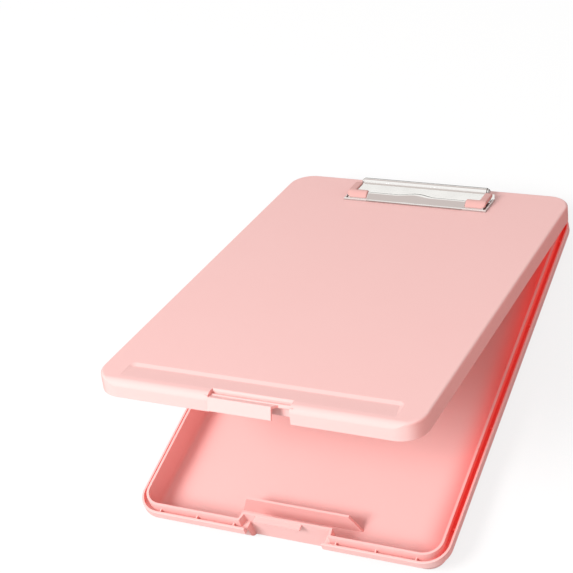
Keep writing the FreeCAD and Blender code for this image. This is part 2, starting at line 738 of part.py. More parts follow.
def cut_from(name, base, tool):
    """Difference of two solids."""
    feature = doc.addObject("Part::Cut", name)
    feature.Base = base
    feature.Tool = tool
    return feature


def join(name, pieces):
    """Union of several solids."""
    feature = doc.addObject("Part::MultiFuse", name)
    feature.Shapes = pieces
    return feature


def make_clip_jaw():
    """Pressed jaw: a sheet bent down at its front lip, dented there, and curled round the rod behind."""
    crease_y, lip_y = f"({LID_BACK} - jaw_crease)", f"({LID_BACK} - jaw_lip)"
    shoulder_y = f"({LID_BACK} - jaw_shoulder)"
    top_z, lip_z = f"({LID_TOP} + jaw_level)", f"({LID_TOP} + jaw_lip_level)"
    rise, run = number(f"{top_z} - {lip_z}"), number(f"{crease_y} - {lip_y}")
    slope = math.hypot(rise, run)
    # The sheet's inner surface lies one thickness inside the outer one, square to the lip
    inner_run = f"(sheet_metal * {slope / rise})"
    inner_top = f"({top_z} - sheet_metal)"
    crease_in = f"({crease_y} + {inner_run} - sheet_metal * {run / rise})"
    lip_in = f"({lip_y} + {inner_run})"
    width = f"2 * {JAW_HALF}"
    block = extruded("jaw_block", f"0 - {JAW_HALF}", width,
                     [(lip_y, lip_z), (shoulder_y, lip_z), (shoulder_y, top_z), (crease_y, top_z)])
    hollow = extruded("jaw_hollow", f"0 - {JAW_HALF} - overrun", f"{width} + 2 * overrun",
                      [(f"{lip_in} - overrun * {run / rise}", f"{lip_z} - overrun"),
                       (f"{shoulder_y} + overrun", f"{lip_z} - overrun"),
                       (f"{shoulder_y} + overrun", inner_top), (crease_in, inner_top)])
    # The dent is a cone whose rim passes through the crease at both ends of the dent
    dent_radius = "((dent_half * dent_half + dent_rise * dent_rise) / (2 * dent_rise))"
    centre_y = f"({crease_y} + dent_rise - {dent_radius})"
    foot_radius = f"({lip_y} - {centre_y})"
    spread = f"(({dent_radius} - {foot_radius}) / ({top_z} - {lip_z}))"
    low, high = f"({lip_z} - overrun)", f"({top_z} + overrun)"
    cone_low, cone_high = f"({foot_radius} - overrun * {spread})", f"({dent_radius} + overrun * {spread})"
    dent = upright_cone("jaw_dent", centre_y, low, high, cone_low, cone_high)
    inner = f"sheet_metal * sqrt(1 + {spread} * {spread})"
    dent_back = upright_cone("jaw_dent_back", centre_y, low, high,
                             f"{cone_low} + {inner}", f"{cone_high} + {inner}")
    sheet_part = cut_from("jaw_sheet", cut_from("jaw_front", block, dent),
                          cut_from("jaw_void", hollow, dent_back))
    # The curl runs from the plate over the rod to below it, open underneath
    roll_in = "(roll_radius - sheet_metal)"
    rise_out, rise_in = f"({top_z} - {ROLL_Z})", f"({inner_top} - {ROLL_Z})"
    reach_out = f"sqrt(roll_radius * roll_radius - {rise_out} * {rise_out})"
    reach_in = f"sqrt({roll_in} * {roll_in} - {rise_in} * {rise_in})"
    end_y, end_z = "cos(50 deg)", "sin(50 deg)"
    curl = extruded("jaw_curl", f"0 - {ROLL_HALF}", f"2 * {ROLL_HALF}", [
        (f"{shoulder_y} - overrun", top_z),
        (f"{shoulder_y} - overrun", inner_top),
        (f"{ROLL_Y} - {reach_in}", inner_top),
        (f"{ROLL_Y}", f"{ROLL_Z} + {roll_in}", roll_in, -1),
        (f"{ROLL_Y} + {roll_in} * {end_y}", f"{ROLL_Z} - {roll_in} * {end_z}", roll_in, -1),
        (f"{ROLL_Y} + roll_radius * {end_y}", f"{ROLL_Z} - roll_radius * {end_z}"),
        (f"{ROLL_Y}", f"{ROLL_Z} + roll_radius", "roll_radius", 1),
        (f"{ROLL_Y} - {reach_out}", top_z, "roll_radius", 1),
    ])
    pieces = [sheet_part, curl] + [roll_end(side, sign) for side, sign in (("right", 1), ("left", -1))]
    jaw = join("jaw_joined", pieces)
    jaw.Label = "clip_jaw"
    return jaw


def roll_end(side, sign):
    """Disc that closes one end of the curl and turns on the rod."""
    disc = doc.addObject("Part::Cylinder", f"roll_end_{side}")
    disc.setExpression("Radius", bound("roll_radius"))
    bore = doc.addObject("Part::Cylinder", f"roll_bore_{side}")
    bore.setExpression("Radius", bound("clip_rod_radius + clip_rod_play"))
    along_x = FreeCAD.Rotation(FreeCAD.Vector(0, 1, 0), 90)
    start = number(f"{ROLL_HALF} - sheet_metal") if sign > 0 else -number(ROLL_HALF)
    for cylinder in (disc, bore):
        cylinder.setExpression("Height", bound("sheet_metal"))
        cylinder.Placement = FreeCAD.Placement(
            FreeCAD.Vector(start, number(ROLL_Y), number(ROLL_Z)), along_x)
    return cut_from(f"roll_cap_{side}", disc, bore)


def make_corner_grip(name, sign):
    """Moulded L-shaped grip that laps over the jaw's front corner, its crease and its end."""
    crease_y = f"({LID_BACK} - jaw_crease)"
    top_z = f"({LID_TOP} + jaw_level)"
    fall = "((jaw_level - jaw_lip_level) / (jaw_lip - jaw_crease))"
    front_y, back_y = f"({LID_BACK} - grip_front)", f"({LID_BACK} - grip_back)"
    front_z = f"({top_z} - {fall} * ({crease_y} - {front_y}))"
    outer = f"({JAW_HALF} + grip_overhang)"
    body = new_body(name)
    start = "0 - " + outer if sign < 0 else f"{outer} - grip_front_length"
    arms = new_sketch(body, f"{name}_section", "YZ_Plane", start)
    outline(arms, [(front_y, front_z), (crease_y, top_z), (back_y, top_z),
                   (back_y, f"{top_z} + grip_thickness"), (crease_y, f"{top_z} + grip_thickness"),
                   (front_y, f"{front_z} + grip_thickness")])
    pad(body, arms, "grip_front_length")
    gap = new_sketch(body, f"{name}_inner_corner", offset=f"{top_z} + grip_thickness")
    near, far = f"{outer} - grip_side_arm", f"{outer} - grip_front_length - overrun"
    left, right = (far, near) if sign > 0 else (f"0 - ({near})", f"0 - ({far})")
    rectangle(gap, left, f"{front_y} + grip_front_arm", right, f"{back_y} + overrun")
    pocket(body, gap, "grip_thickness + overrun")
    side = new_sketch(body, f"{name}_side", "YZ_Plane", JAW_HALF if sign > 0 else "0 - " + outer)
    under = f"{top_z} - 2 * sheet_metal"
    outline(side, [(crease_y, under), (back_y, under), (back_y, f"{top_z} + grip_thickness / 2"),
                   (crease_y, f"{top_z} + grip_thickness / 2")])
    pad(body, side, "grip_overhang")
    top_level = number(f"{top_z} + grip_thickness")
    dress(body, "Fillet", f"{name}_round", lambda edge: flat_at(edge, top_level), "grip_round")
    return body


def make_rivet(name, sign):
    """Tubular rivet: domed head on the base plate, hollow shank, and rolled tail under the washer."""
    body = new_body(name)
    profile = new_sketch(body, f"{name}_profile", "XZ_Plane", f"0 - ({LID_BACK} - rivet_setback)")
    centre = f"{sign} * {RIVET_X}"
    seat = f"({LID_TOP} + sheet_metal)"
    under = f"({LID_TOP} - lid_top - washer_thickness)"
    dome = "((rivet_head_radius * rivet_head_radius + rivet_head * rivet_head) / (2 * rivet_head))"
    drop = f"({dome} - sqrt({dome} * {dome} - rivet_bore * rivet_bore))"
    outline(profile, [
        (f"{centre} + rivet_bore", f"{under} - rivet_tail"),
        (f"{centre} + rivet_tail_radius", f"{under} - rivet_tail"),
        (f"{centre} + rivet_tail_radius", under),
        (f"{centre} + rivet_radius", under),
        (f"{centre} + rivet_radius", seat),
        (f"{centre} + rivet_head_radius", seat),
        (f"{centre} + rivet_bore", f"{seat} + rivet_head - {drop}", dome, 1),
    ])
    axis = profile.addGeometry(Part.LineSegment(flat_point(centre, under), flat_point(centre, seat)), True)
    pin_point(profile, axis, 1, centre, under)
    pin_point(profile, axis, 2, centre, seat)
    turned = body.newObject("PartDesign::Revolution", f"{name}_turned")
    turned.Profile = profile
    turned.ReferenceAxis = (profile, ["Axis0"])
    turned.Angle = 360
    doc.recompute()
    return body


def make_rivet_washer(name, sign):
    """Flat washer between the lid's inner face and the rivet's tail."""
    body = new_body(name)
    plan = new_sketch(body, f"{name}_plan", offset=f"{LID_TOP} - lid_top - washer_thickness")
    centre, setback = f"{sign} * {RIVET_X}", f"{LID_BACK} - rivet_setback"
    circle(plan, centre, setback, "washer_radius")
    circle(plan, centre, setback, "rivet_radius + rivet_play")
    pad(body, plan, "washer_thickness")
    return body


def turned_up(y, z, angle):
    """Frame on a hinge axis along X, with its front raised by an angle."""
    turn = FreeCAD.Rotation(FreeCAD.Vector(-1, 0, 0), number(angle))
    return FreeCAD.Placement(FreeCAD.Vector(0, number(y), number(z)), turn)


hinge_frame = turned_up(f"{TRAY_BACK} + hinge_setback", "tray_height", "0")
lid_frame = turned_up(f"{TRAY_BACK} + hinge_setback", "tray_height", "lid_rest_angle")
latch_frame = lid_frame.multiply(turned_up(LATCH_Y, LATCH_Z, "latch_rest_angle"))

pieces = {make_tray(): FreeCAD.Placement(), make_hinge_rod(): hinge_frame, make_latch(): latch_frame}
on_lid = [make_lid(), make_clip_base(), make_clip_rod(), make_clip_jaw()]
for side, sign in (("left", -1), ("right", 1)):
    on_lid += [
        make_clip_spring(f"clip_spring_{side}", sign),
        make_corner_grip(f"corner_grip_{side}", sign),
        make_rivet(f"rivet_{side}", sign),
        make_rivet_washer(f"rivet_washer_{side}", sign),
    ]
pieces.update({piece: lid_frame for piece in on_lid})
doc.recompute()
for piece, placement in pieces.items():
    piece.Placement = placement
doc.recompute()

for item in doc.Objects:
    if "Invalid" in item.State or "Error" in item.State:
        raise ValueError(f"{item.Name} failed: {item.State}")
for piece in pieces:
    shape = piece.Shape
    if shape.isNull() or not shape.isValid() or len(shape.Solids) != 1:
        raise ValueError(f"{piece.Label} isn't one valid solid")
    shape.exportStep(f"parts/{piece.Label}.step")
    print(f"{piece.Label}: {shape.Volume:.0f} mm3, {len(shape.Faces)} faces")
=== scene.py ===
# %% [markdown]
# # A storage clipboard box in pink plastic
# The object is a shallow tray with a hinged lid. The lid's top is a writing board with a low
# chromed clip, and its front edge has a pen rest and a latch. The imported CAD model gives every
# solid its size and place. This script keeps the solids that are already right, dresses them in
# procedural materials, and replaces the pressed and moulded small parts with smoother surfaces.

# %% The frame
import bmesh
import bpy
import numpy as np
from mathutils import Matrix, Vector


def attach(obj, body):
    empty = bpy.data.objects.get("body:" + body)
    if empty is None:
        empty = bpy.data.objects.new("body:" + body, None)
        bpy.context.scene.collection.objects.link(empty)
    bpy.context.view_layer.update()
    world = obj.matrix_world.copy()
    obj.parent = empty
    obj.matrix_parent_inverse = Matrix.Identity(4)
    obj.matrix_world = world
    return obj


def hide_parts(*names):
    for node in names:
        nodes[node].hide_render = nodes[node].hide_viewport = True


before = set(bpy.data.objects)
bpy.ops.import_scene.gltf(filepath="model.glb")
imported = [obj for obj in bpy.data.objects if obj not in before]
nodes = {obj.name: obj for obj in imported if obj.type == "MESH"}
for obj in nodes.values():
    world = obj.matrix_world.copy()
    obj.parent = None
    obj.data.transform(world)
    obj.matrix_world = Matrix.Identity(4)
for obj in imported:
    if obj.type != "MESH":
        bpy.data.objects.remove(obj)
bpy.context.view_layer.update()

# %% [markdown]
# ## Camera
# A camera's place can be given by two angles and a distance, as a photographer would walk round
# a table. Here it also leans to one side, which is why the box seems to slide down to the right.
# The picture is 573 pixels square, so a focal length in pixels turns into a lens in millimetres,
# and the place of the picture's centre turns into a shift of the lens.

# %% Camera at the picture's viewing angle
PICTURE = 573
AZIMUTH, ELEVATION, LEAN = np.radians([34.374, 44.782, -18.771]).tolist()
DISTANCE, FOCAL = 1.181489, 1555.79
SLIDE, RISE = 0.022427, -0.040322
CENTRE = (333.746, 301.182)
TARGET = Vector((0, 0, 0.021))
SENSOR = 36

back = Vector((np.sin(AZIMUTH) * np.cos(ELEVATION), -np.cos(AZIMUTH) * np.cos(ELEVATION),
               np.sin(ELEVATION)))
level = back.cross(Vector((0, 0, -1))).normalized()
lift = level.cross(-back)
lean = Matrix.Rotation(LEAN, 3, back)
right, up = lean @ level, lean @ lift
place = TARGET + back * DISTANCE - right * SLIDE - up * RISE

camera = bpy.data.objects.new("camera", bpy.data.cameras.new("camera"))
bpy.context.scene.collection.objects.link(camera)
camera.matrix_world = Matrix.Translation(place) @ Matrix((right, up, back)).transposed().to_4x4()
camera.data.sensor_width = SENSOR
camera.data.lens = FOCAL / PICTURE * SENSOR
camera.data.shift_x = (PICTURE / 2 - CENTRE[0]) / PICTURE
camera.data.shift_y = (CENTRE[1] - PICTURE / 2) / PICTURE
camera.data.clip_end = 10
bpy.context.scene.camera = camera
print("camera:", round(camera.data.lens, 1), "mm lens,", round(DISTANCE, 3), "m away")

# %% [markdown]
# ## Studio
# Soft plastic looks soft only in soft light. One large lamp in front and to the left is the key,
# so the lid's front is bright and its right side lies in shade, which a weak fill lamp lifts a
# little. The world adds a pale light from everywhere. Chrome shows little but its surroundings.
# So the lamps themselves are kept out of it, and the world that it mirrors has tones: a white wall
# with a dark strip low down and another halfway up, a warm grey ceiling, and a bright patch where
# the key's softbox hangs. The floor is white to the camera and dark in the chrome, because dark
# lines are what tells chrome from white paint.

# %% Lamps
def lamp(name, spot, aim, size, power):
    """Square area lamp at a spot, turned to shine on the aim point."""
    data = bpy.data.lights.new(name, "AREA")
    data.size = size
    data.energy = power
    item = bpy.data.objects.new(name, data)
    bpy.context.scene.collection.objects.link(item)
    item.location = spot
    item.rotation_euler = (Vector(aim) - Vector(spot)).to_track_quat("-Z", "Y").to_euler()
    item.visible_glossy = False
    return item


AIM = (0, 0, 0.05)
KEY_SPOT, KEY_SIZE, KEY_POWER = (-0.85, -1.45, 1.75), 0.9, 50
FILL_SPOT, FILL_SIZE, FILL_POWER = (1.8, -0.35, 0.4), 0.7, 3.2
lamp("key_lamp", KEY_SPOT, AIM, KEY_SIZE, KEY_POWER)
lamp("fill_lamp", FILL_SPOT, AIM, FILL_SIZE, FILL_POWER)

# %% World
WORLD_LIGHT = 0.605
WALL, LOW_DARK, HIGH_DARK = (1, 0.99, 0.97), (0.05, 0.045, 0.045), (0.05, 0.045, 0.04)
CEILING = (0.64, 0.57, 0.55)
# Tones by the sine of the height above the horizon
STRIPS = [(0.0, LOW_DARK), (0.075, LOW_DARK), (0.115, WALL), (0.25, WALL), (0.27, HIGH_DARK),
          (0.34, HIGH_DARK), (0.36, WALL), (0.525, (1, 0.98, 0.96)), (0.585, CEILING)]
SOFTBOX = Vector((-0.85, -1.45, 1.7)).normalized()
PATCH_EDGE, PATCH_FULL = 0.62, 0.72

world = bpy.data.worlds.new("studio")
world.use_nodes = True
bpy.context.scene.world = world
tree = world.node_tree
sky = tree.nodes["Background"]
path = tree.nodes.new("ShaderNodeLightPath")
seen = tree.nodes.new("ShaderNodeMath")
seen.operation = "MAXIMUM"
strength = tree.nodes.new("ShaderNodeMapRange")
strength.inputs["To Min"].default_value = WORLD_LIGHT
strength.inputs["To Max"].default_value = 1.0
towards = tree.nodes.new("ShaderNodeTexCoord")
parts = tree.nodes.new("ShaderNodeSeparateXYZ")
walls = tree.nodes.new("ShaderNodeValToRGB")
while len(walls.color_ramp.elements) < len(STRIPS):
    walls.color_ramp.elements.new(1)
for stop, (spot, tone) in zip(walls.color_ramp.elements, STRIPS):
    stop.position = spot
    stop.color = (*tone, 1)
nearness = tree.nodes.new("ShaderNodeVectorMath")
nearness.operation = "DOT_PRODUCT"
nearness.inputs[1].default_value = SOFTBOX
patch = tree.nodes.new("ShaderNodeMapRange")
patch.interpolation_type = "SMOOTHSTEP"
patch.inputs["From Min"].default_value = PATCH_EDGE
patch.inputs["From Max"].default_value = PATCH_FULL
lit = tree.nodes.new("ShaderNodeMix")
lit.data_type = "RGBA"
lit.inputs["B"].default_value = (1, 0.99, 0.98, 1)
mirrored = tree.nodes.new("ShaderNodeMix")
mirrored.data_type = "RGBA"
mirrored.inputs["A"].default_value = (1, 0.995, 0.99, 1)
link = tree.links.new
link(path.outputs["Is Camera Ray"], seen.inputs[0])
link(path.outputs["Is Glossy Ray"], seen.inputs[1])
link(seen.outputs[0], strength.inputs["Value"])
link(strength.outputs[0], sky.inputs["Strength"])
link(towards.outputs["Generated"], parts.inputs[0])
link(parts.outputs["Z"], walls.inputs["Fac"])
link(path.outputs["Is Glossy Ray"], mirrored.inputs["Factor"])
link(towards.outputs["Generated"], nearness.inputs[0])
link(nearness.outputs["Value"], patch.inputs["Value"])
link(patch.outputs[0], lit.inputs["Factor"])
link(walls.outputs["Color"], lit.inputs["A"])
link(lit.outputs["Result"], mirrored.inputs["B"])
link(mirrored.outputs["Result"], sky.inputs["Color"])
bpy.context.scene.view_settings.view_transform = "Standard"
print("world:", len(STRIPS), "tones, light strength", WORLD_LIGHT)

# %% [markdown]
# ## Meshes from arrays
# A curved sheet is easy to write as a formula with two parameters. Numpy works the formula out
# over a whole grid at once, and each cell of the grid turns into a four-sided face. Where the
# surface comes round to its start, the first row or column is used again, so no seam stays open.

# %% Mesh helpers
def grid_mesh(name, points, close_u=False, close_v=False):
    """Mesh over an array of points with two parameters, (rows, columns, 3), as quads."""
    rows, columns = points.shape[:2]
    index = np.arange(rows * columns).reshape(rows, columns)
    if close_u:
        index = np.vstack([index, index[:1]])
    if close_v:
        index = np.hstack([index, index[:, :1]])
    corners = [index[:-1, :-1], index[:-1, 1:], index[1:, 1:], index[1:, :-1]]
    return mesh_object(name, points.reshape(-1, 3), np.stack(corners, -1).reshape(-1, 4))


def mesh_object(name, points, faces):
    """Object with a smooth mesh from an array of points and an array of faces."""
    mesh = bpy.data.meshes.new(name)
    mesh.from_pydata(np.asarray(points).tolist(), [], np.asarray(faces).tolist())
    mesh.update()
    item = bpy.data.objects.new(name, mesh)
    bpy.context.scene.collection.objects.link(item)
    return item


print("helpers:", grid_mesh.__name__, mesh_object.__name__)

# %% [markdown]
# ## Floor
# The floor mixes a matt white with a white glow that only the camera sees, so it stays as white
# as the background and still takes the object's shadow. To other rays it is a plain grey that
# throws little light up at the object, and to mirrors it is dark.

# %% Floor
FLOOR_REACH, FLOOR_GLOW = 3, 0.8
ends = (-FLOOR_REACH, FLOOR_REACH)
floor = grid_mesh("floor", np.array([[[x, y, 0.0] for x in ends] for y in ends]))
paper = bpy.data.materials.new("white_floor")
paper.use_nodes = True
tree = paper.node_tree
tree.nodes.clear()
output = tree.nodes.new("ShaderNodeOutputMaterial")
matt = tree.nodes.new("ShaderNodeBsdfDiffuse")
glow = tree.nodes.new("ShaderNodeEmission")
glow.inputs["Color"].default_value = (1, 1, 1, 1)
rays = tree.nodes.new("ShaderNodeLightPath")
share = tree.nodes.new("ShaderNodeMath")
share.operation = "MULTIPLY"
share.inputs[1].default_value = FLOOR_GLOW
tone = tree.nodes.new("ShaderNodeMix")
tone.data_type = "RGBA"
tone.inputs["B"].default_value = (0.93, 0.92, 0.92, 1)
unseen = tree.nodes.new("ShaderNodeMix")
unseen.data_type = "RGBA"
unseen.inputs["A"].default_value = (0.5, 0.48, 0.48, 1)
unseen.inputs["B"].default_value = (0.12, 0.11, 0.11, 1)
mix = tree.nodes.new("ShaderNodeMixShader")
link = tree.links.new
link(rays.outputs["Is Glossy Ray"], unseen.inputs["Factor"])
link(unseen.outputs["Result"], tone.inputs["A"])
link(rays.outputs["Is Camera Ray"], tone.inputs["Factor"])
link(rays.outputs["Is Camera Ray"], share.inputs[0])
link(tone.outputs["Result"], matt.inputs["Color"])
link(share.outputs[0], mix.inputs[0])
link(matt.outputs[0], mix.inputs[1])
link(glow.outputs[0], mix.inputs[2])
link(mix.outputs[0], output.inputs["Surface"])
floor.data.materials.append(paper)
print("floor:", floor.dimensions[:])

# %% [markdown]
# ## Moulded grain
# Injection-moulded plastic is never one flat colour. The steel mould leaves a fine matt grain,
# and the melt leaves very faint clouds of tone where it flowed. The group below puts out a cloud
# mask, a roughness and a height, so both pink plastics can share it with their own values.

# %% Shared node group
def add_socket(group, name, kind, way, value=None):
    """One named input or output of a shader node group."""
    made = group.interface.new_socket(name=name, in_out=way, socket_type=kind)
    if value is not None:
        made.default_value = value


def grain_group():
    """Group whose outputs are a cloud mask, a roughness and a grain height."""
    group = bpy.data.node_groups.new("moulded_grain", "ShaderNodeTree")
    add_socket(group, "Vector", "NodeSocketVector", "INPUT")
    add_socket(group, "Cloud Scale", "NodeSocketFloat", "INPUT", 9.0)
    add_socket(group, "Grain Scale", "NodeSocketFloat", "INPUT", 2400.0)
    add_socket(group, "Roughness Low", "NodeSocketFloat", "INPUT", 0.36)
    add_socket(group, "Roughness High", "NodeSocketFloat", "INPUT", 0.46)
    add_socket(group, "Cloud", "NodeSocketFloat", "OUTPUT")
    add_socket(group, "Roughness", "NodeSocketFloat", "OUTPUT")
    add_socket(group, "Height", "NodeSocketFloat", "OUTPUT")
    put, get = group.nodes.new("NodeGroupOutput"), group.nodes.new("NodeGroupInput")
    cloud = group.nodes.new("ShaderNodeTexNoise")
    cloud.inputs["Detail"].default_value = 3
    grain = group.nodes.new("ShaderNodeTexNoise")
    grain.inputs["Detail"].default_value = 2
    spread = group.nodes.new("ShaderNodeMapRange")
    link = group.links.new
    link(get.outputs["Vector"], cloud.inputs["Vector"])
    link(get.outputs["Cloud Scale"], cloud.inputs["Scale"])
    link(get.outputs["Vector"], grain.inputs["Vector"])
    link(get.outputs["Grain Scale"], grain.inputs["Scale"])
    link(cloud.outputs["Fac"], spread.inputs["Value"])
    link(get.outputs["Roughness Low"], spread.inputs["To Min"])
    link(get.outputs["Roughness High"], spread.inputs["To Max"])
    link(cloud.outputs["Fac"], put.inputs["Cloud"])
    link(spread.outputs[0], put.inputs["Roughness"])
    link(grain.outputs["Fac"], put.inputs["Height"])
    return group


grain = grain_group()
print("group:", grain.name, [item.name for item in grain.interface.items_tree])

# %% Pink plastics
def plastic(name, light, deep, side, low, high, grain_scale, depth):
    """Satin moulded plastic: two close tones, a clouded roughness between low and high, and a fine
    grain of the given bump depth. Faces that look left or right take the side tone, a painted shade
    for sides that lie in shade."""
    material = bpy.data.materials.new(name)
    material.use_nodes = True
    tree = material.node_tree
    body = tree.nodes["Principled BSDF"]
    body.inputs["IOR"].default_value = 1.49
    places = tree.nodes.new("ShaderNodeTexCoord")
    made = tree.nodes.new("ShaderNodeGroup")
    made.node_tree = grain
    made.inputs["Grain Scale"].default_value = grain_scale
    made.inputs["Roughness Low"].default_value = low
    made.inputs["Roughness High"].default_value = high
    tone = tree.nodes.new("ShaderNodeMix")
    tone.data_type = "RGBA"
    tone.inputs["A"].default_value = (*light, 1)
    tone.inputs["B"].default_value = (*deep, 1)
    bump = tree.nodes.new("ShaderNodeBump")
    bump.inputs["Distance"].default_value = depth
    bump.inputs["Strength"].default_value = 0.5
    link = tree.links.new
    link(places.outputs["Object"], made.inputs["Vector"])
    link(made.outputs["Cloud"], tone.inputs["Factor"])
    # Painted shade: faces that look left or right get the deeper side tone
    facing = tree.nodes.new("ShaderNodeNewGeometry")
    split = tree.nodes.new("ShaderNodeSeparateXYZ")
    sideways = tree.nodes.new("ShaderNodeMath")
    sideways.operation = "ABSOLUTE"
    side_shade_weight = tree.nodes.new("ShaderNodeMapRange")
    side_shade_weight.interpolation_type = "SMOOTHSTEP"
    side_shade_weight.inputs["From Min"].default_value = 0.45
    side_shade_weight.inputs["From Max"].default_value = 0.95
    side_shaded = tree.nodes.new("ShaderNodeMix")
    side_shaded.data_type = "RGBA"
    side_shaded.inputs["B"].default_value = (*side, 1)
    link(facing.outputs["Normal"], split.inputs[0])
    link(split.outputs["X"], sideways.inputs[0])
    link(sideways.outputs[0], side_shade_weight.inputs["Value"])
    link(side_shade_weight.outputs[0], side_shaded.inputs["Factor"])
    link(tone.outputs["Result"], side_shaded.inputs["A"])
    link(side_shaded.outputs["Result"], body.inputs["Base Color"])
    link(made.outputs["Roughness"], body.inputs["Roughness"])
    link(made.outputs["Height"], bump.inputs["Height"])
    link(bump.outputs["Normal"], body.inputs["Normal"])
    return material


PINKS = (0.95, 0.585, 0.56), (0.94, 0.56, 0.535)
MOULDED = {"low": 0.44, "high": 0.54, "grain_scale": 2400, "depth": 0.00004}
GRIP_PINKS = (0.76, 0.44, 0.41), (0.73, 0.40, 0.37)
GRIP_MOULDED = {"low": 0.42, "high": 0.52, "grain_scale": 3000, "depth": 0.00003}
# The side tones are painted shade on the faces that look left or right
pink = plastic("pink_plastic", *PINKS, side=(0.97, 0.40, 0.37), **MOULDED)
tray_pink = plastic("tray_plastic", *PINKS, side=(0.97, 0.44, 0.41), **MOULDED)
grip_pink = plastic("grip_plastic", *GRIP_PINKS, side=(0.64, 0.28, 0.25), **GRIP_MOULDED)
print("plastics:", pink.name, tray_pink.name, grip_pink.name)

# %% [markdown]
# ## Painted shade and glow in the tray's rim
# Thin pale plastic lets some light in and hands it back redder, most of all where walls face
# each other. So the real rim groove glows red along the sides, and the inside of the wall, in
# shade, is deeper than the lid. Here that light and shade are painted: a deep red shade in the base
# colour of the groove and of the wall's inside, and a faint red glow as emission. A mask from the
# distance to the tray's outline places them. The outline is a rounded rectangle, whose distance
# takes a few steps of vector arithmetic.

# %% Rim masks
def rim_shade_group():
    """Masks for painted shade and glow, from Object coordinates. With q = |p| - (half size - corner
    radius), the distance in from the outline is: corner radius - length(max(q, 0)) - min(max(q.x,
    q.y), 0). The bowl's inside is what lies past the middle of its wall and floor, a line whose
    corner is round with a 7 mm radius and whose upright part leans out by the bowl's draft."""
    group = bpy.data.node_groups.new("painted_rim_shade_masks", "ShaderNodeTree")
    add_socket(group, "Vector", "NodeSocketVector", "INPUT")
    for name in ("Groove", "Inner", "Glow"):
        add_socket(group, name, "NodeSocketFloat", "OUTPUT")
    put, get = group.nodes.new("NodeGroupOutput"), group.nodes.new("NodeGroupInput")
    link = group.links.new

    def step(kind, operation, *values):
        """One math node whose inputs are sockets or plain values, and its first output."""
        node = group.nodes.new(kind)
        node.operation = operation
        for slot, value in zip(node.inputs, values):
            if isinstance(value, bpy.types.NodeSocket):
                link(value, slot)
            else:
                slot.default_value = value
        return node.outputs["Value" if operation == "LENGTH" else 0]

    def count(operation, *values):
        return step("ShaderNodeMath", operation, *values)

    def ramp(value, low, high):
        """Smooth step from 0 at the low value to 1 at the high one."""
        node = group.nodes.new("ShaderNodeMapRange")
        node.interpolation_type = "SMOOTHSTEP"
        link(value, node.inputs["Value"])
        turned_round = low > high
        node.inputs["From Min"].default_value = min(low, high)
        node.inputs["From Max"].default_value = max(low, high)
        node.inputs["To Min"].default_value = float(turned_round)
        node.inputs["To Max"].default_value = float(not turned_round)
        return node.outputs[0]

    def split(vector):
        node = group.nodes.new("ShaderNodeSeparateXYZ")
        link(vector, node.inputs[0])
        return node.outputs

    # The tray's plan, the round below its shell's top, and the tangent of the bowl's draft
    half_x, half_y, corner = 0.120, 0.169, 0.0185
    round_inset, round_height, shell_top, draft = 0.0125, 0.008, 0.0151, 0.0524
    far, faint, crest_share, groove_share = 9, 0.2, 0.45, 0.35
    place = split(get.outputs["Vector"])
    folded = step("ShaderNodeVectorMath", "ABSOLUTE", get.outputs["Vector"])
    past = step("ShaderNodeVectorMath", "SUBTRACT", folded, (half_x - corner, half_y - corner, far))
    beyond = step("ShaderNodeVectorMath", "MAXIMUM", past, (0, 0, 0))
    edge = split(past)
    inner = count("MINIMUM", count("MAXIMUM", edge["X"], edge["Y"]), 0.0)
    reach = step("ShaderNodeVectorMath", "LENGTH", beyond)
    inset = count("SUBTRACT", count("SUBTRACT", corner, reach), inner)

    # The painted shade and glow run along the sides and the back, fade towards the front, are faint
    # on the left, and leave out the hinge's knuckles
    side = count("MAXIMUM", ramp(split(folded)["X"], 0.078, 0.106), ramp(place["Y"], 0.10, 0.16))
    side = count("MULTIPLY", side, ramp(place["Y"], -0.172, -0.13))
    side = count("MULTIPLY", side, count("MAXIMUM", ramp(place["X"], -0.09, -0.05), faint))
    knuckles = count("MULTIPLY", ramp(place["Y"], 0.1646, 0.1652), ramp(place["Z"], 0.0202, 0.0208))
    side = count("MULTIPLY", side, count("SUBTRACT", 1.0, knuckles))

    # Place from the round's centre, in which the middle of wall and floor is a circle
    below_shell = count("MAXIMUM", count("SUBTRACT", shell_top, place["Z"]), 0.0)
    drafted = count("ADD", count("MULTIPLY", below_shell, draft), round_inset)
    corner_spot = group.nodes.new("ShaderNodeCombineXYZ")
    link(count("MAXIMUM", count("SUBTRACT", drafted, inset), 0.0), corner_spot.inputs[0])
    link(count("MAXIMUM", count("SUBTRACT", round_height, place["Z"]), 0.0), corner_spot.inputs[1])
    spot_length = step("ShaderNodeVectorMath", "LENGTH", corner_spot.outputs[0])
    inside = ramp(spot_length, 0.0072, 0.0068)

    # Painted shade in the groove between lip and upstand, the bowl wall below it, and the upstand's
    # and lip's crests
    below_top = count("MULTIPLY", ramp(place["Z"], 0.0246, 0.0238), side)
    groove = count("MULTIPLY", ramp(inset, 0.0012, 0.0017), ramp(inset, 0.0050, 0.0046))
    groove = count("MULTIPLY", groove, ramp(place["Z"], 0.0150, 0.0158))
    groove = count("MULTIPLY", groove, below_top)
    wall = count("MULTIPLY", count("MULTIPLY", ramp(inset, 0.036, 0.010), inside), below_top)
    crest = count("MULTIPLY", ramp(place["Z"], 0.018, 0.020), side)
    crest = count("MULTIPLY", crest, crest_share)
    crest = count("MULTIPLY", crest, ramp(inset, 0.0001, 0.0006))
    wall = count("MAXIMUM", wall, crest)
    # The painted glow grows towards the back, under the lid
    painted_wall_glow = count("MULTIPLY", wall, ramp(place["Y"], -0.10, 0.10))
    glow = count("MAXIMUM", count("MULTIPLY", groove, groove_share), painted_wall_glow)
    for name, value in (("Groove", groove), ("Inner", wall), ("Glow", glow)):
        link(value, put.inputs[name])
    return group


